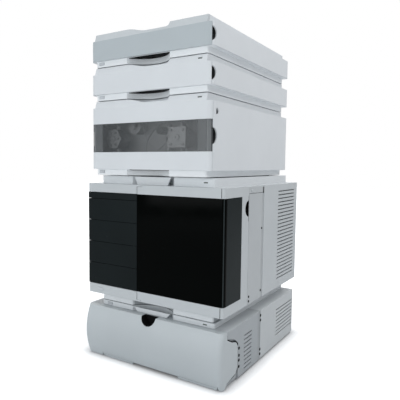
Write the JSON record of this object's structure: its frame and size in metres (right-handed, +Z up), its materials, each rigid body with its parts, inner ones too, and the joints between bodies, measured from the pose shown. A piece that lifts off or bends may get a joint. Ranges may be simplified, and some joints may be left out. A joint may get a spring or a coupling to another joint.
{
  "type": "liquid chromatography stack",
  "caption": "Stack of analytical instrument modules: degassers, a pump with a smoked window, a sampler with dark panes, and a detector with a drop-down door.",
  "frame": {"origin": "middle of the bench footprint, on the bench, under the centre of the whole stack's box", "axes": "+Z up, +X to the right as seen from the front, +Y to the back, fronts face -Y"},
  "size_m": [0.396, 0.469, 0.8],
  "materials": {
    "shell_white": "fine satin moulding",
    "shell_grey": "fine satin moulding",
    "dark_pane": "polished",
    "smoke_window": "polished, tinted",
    "sheet_steel": "brushed sheet",
    "turned_steel": "turned",
    "casting": "as cast",
    "dark_plastic": "moulded",
    "rubber": "matt",
    "board": "solder mask",
    "lamp": "clear moulding, unlit",
    "chamber_plastic": "moulded",
    "button_grey": "moulded"
  },
  "bodies": {
    "root": {"degasser_1_base": "shell_white", "degasser_1_cabinet": "shell_white", "degasser_1_chambers": "chamber_plastic", "degasser_1_vacuum_pump": "dark_plastic", "degasser_2_base": "shell_white", "degasser_2_cabinet": "shell_white", "degasser_2_chambers": "chamber_plastic", "degasser_2_vacuum_pump": "dark_plastic", "pump_base": "shell_white", "pump_cabinet": "shell_white", "pump_chassis": "sheet_steel", "pump_drive": "casting", "pump_head_left": "turned_steel", "pump_head_right": "turned_steel", "pump_damper": "turned_steel", "pump_mixer": "turned_steel", "sampler_base": "shell_grey", "sampler_cabinet": "shell_grey", "sampler_side_panel": "shell_grey", "drawer_frame": "dark_plastic", "transport_rail": "sheet_steel", "injection_valve": "casting", "metering_device": "casting", "detector_base": "shell_grey", "detector_cabinet": "shell_grey", "optical_unit": "casting", "lamp_housing": "turned_steel", "flow_cell": "turned_steel", "rubber_feet": "rubber", "status_lamps": "lamp", "grip_cups": "dark_plastic", "main_boards": "board", "fan_frames": "dark_plastic", "hinge_pins": "turned_steel", "interface_panels": "sheet_steel", "power_inlets": "dark_plastic"},
    "degasser_1_cover": {"degasser_1_front_cover": "shell_grey"},
    "degasser_2_cover": {"degasser_2_front_cover": "shell_white"},
    "pump_cover": {"pump_front_cover": "shell_white", "pump_window": "smoke_window"},
    "degasser_1_button": {"degasser_1_power_button": "button_grey"},
    "degasser_2_button": {"degasser_2_power_button": "button_grey"},
    "pump_button": {"pump_power_button": "button_grey"},
    "sampler_button": {"sampler_power_button": "button_grey"},
    "detector_button": {"detector_power_button": "button_grey"},
    "left_plunger": {"plunger_left": "turned_steel"},
    "right_plunger": {"plunger_right": "turned_steel"},
    "purge_valve": {"purge_knob": "dark_plastic"},
    "pump_fan": {"pump_fan_rotor": "dark_plastic"},
    "sampler_fan": {"sampler_fan_rotor": "dark_plastic"},
    "detector_fan": {"detector_fan_rotor": "dark_plastic"},
    "swing_door": {"sampler_door": "shell_grey", "sampler_door_glass": "dark_pane"},
    "top_drawer": {"drawer_1": "dark_pane"},
    "second_drawer": {"drawer_2": "dark_pane"},
    "third_drawer": {"drawer_3": "dark_pane"},
    "bottom_drawer": {"drawer_4": "dark_pane"},
    "carriage": {"transport_carriage": "dark_plastic"},
    "needle": {"needle_arm": "turned_steel"},
    "drop_door": {"detector_door": "shell_grey"}
  },
  "joints": [
    {"name": "degasser_1_cover_pull", "type": "slide", "parent": "root", "child": "degasser_1_cover", "axis": [0, -1, 0], "range_m": [0, 0.06]},
    {"name": "degasser_2_cover_pull", "type": "slide", "parent": "root", "child": "degasser_2_cover", "axis": [0, -1, 0], "range_m": [0, 0.06]},
    {"name": "pump_cover_pull", "type": "slide", "parent": "root", "child": "pump_cover", "axis": [0, -1, 0], "range_m": [0, 0.06]},
    {"name": "degasser_1_button_press", "type": "slide", "parent": "root", "child": "degasser_1_button", "axis": [0, 1, 0], "range_m": [0, 0.0015], "stiffness_N_per_m": 600},
    {"name": "degasser_2_button_press", "type": "slide", "parent": "root", "child": "degasser_2_button", "axis": [0, 1, 0], "range_m": [0, 0.0015], "stiffness_N_per_m": 600},
    {"name": "pump_button_press", "type": "slide", "parent": "root", "child": "pump_button", "axis": [0, 1, 0], "range_m": [0, 0.0015], "stiffness_N_per_m": 600},
    {"name": "sampler_button_press", "type": "slide", "parent": "root", "child": "sampler_button", "axis": [0, 1, 0], "range_m": [0, 0.0015], "stiffness_N_per_m": 600},
    {"name": "detector_button_press", "type": "slide", "parent": "root", "child": "detector_button", "axis": [0, 1, 0], "range_m": [0, 0.0015], "stiffness_N_per_m": 600},
    {"name": "left_plunger_stroke", "type": "slide", "parent": "root", "child": "left_plunger", "axis": [0, -1, 0], "range_m": [0, 0.008]},
    {"name": "right_plunger_stroke", "type": "slide", "parent": "root", "child": "right_plunger", "axis": [0, -1, 0], "range_m": [-0.008, 0]},
    {"name": "purge_valve_turn", "type": "hinge", "parent": "root", "child": "purge_valve", "pos_m": [0.013, -0.1875, 0.568], "axis": [0, -1, 0], "range_deg": [0, 360]},
    {"name": "pump_fan_spin", "type": "hinge", "parent": "root", "child": "pump_fan", "pos_m": [-0.086, 0.1905, 0.556], "axis": [0, 1, 0], "continuous": true},
    {"name": "sampler_fan_spin", "type": "hinge", "parent": "root", "child": "sampler_fan", "pos_m": [0.058, 0.2175, 0.25], "axis": [0, 1, 0], "continuous": true},
    {"name": "detector_fan_spin", "type": "hinge", "parent": "root", "child": "detector_fan", "pos_m": [-0.09, 0.1915, 0.062], "axis": [0, 1, 0], "continuous": true},
    {"name": "swing_door_turn", "type": "hinge", "parent": "root", "child": "swing_door", "pos_m": [-0.034, -0.2145, 0.3], "axis": [0, 0, -1], "range_deg": [0, 90]},
    {"name": "top_drawer_pull", "type": "slide", "parent": "root", "child": "top_drawer", "axis": [0, -1, 0], "range_m": [0, 0.26]},
    {"name": "second_drawer_pull", "type": "slide", "parent": "root", "child": "second_drawer", "axis": [0, -1, 0], "range_m": [0, 0.26]},
    {"name": "third_drawer_pull", "type": "slide", "parent": "root", "child": "third_drawer", "axis": [0, -1, 0], "range_m": [0, 0.26]},
    {"name": "bottom_drawer_pull", "type": "slide", "parent": "root", "child": "bottom_drawer", "axis": [0, -1, 0], "range_m": [0, 0.26]},
    {"name": "carriage_travel", "type": "slide", "parent": "root", "child": "carriage", "axis": [1, 0, 0], "range_m": [-0.07, 0.07]},
    {"name": "needle_lift", "type": "slide", "parent": "carriage", "child": "needle", "axis": [0, 0, -1], "range_m": [0, 0.06]},
    {"name": "drop_door_turn", "type": "hinge", "parent": "root", "child": "drop_door", "pos_m": [0, -0.2155, 0.0145], "axis": [1, 0, 0], "range_deg": [0, 75]}
  ],
  "couplings": [
    {"joint": "right_plunger_stroke", "follows": "left_plunger_stroke", "ratio": -1}
  ]
}
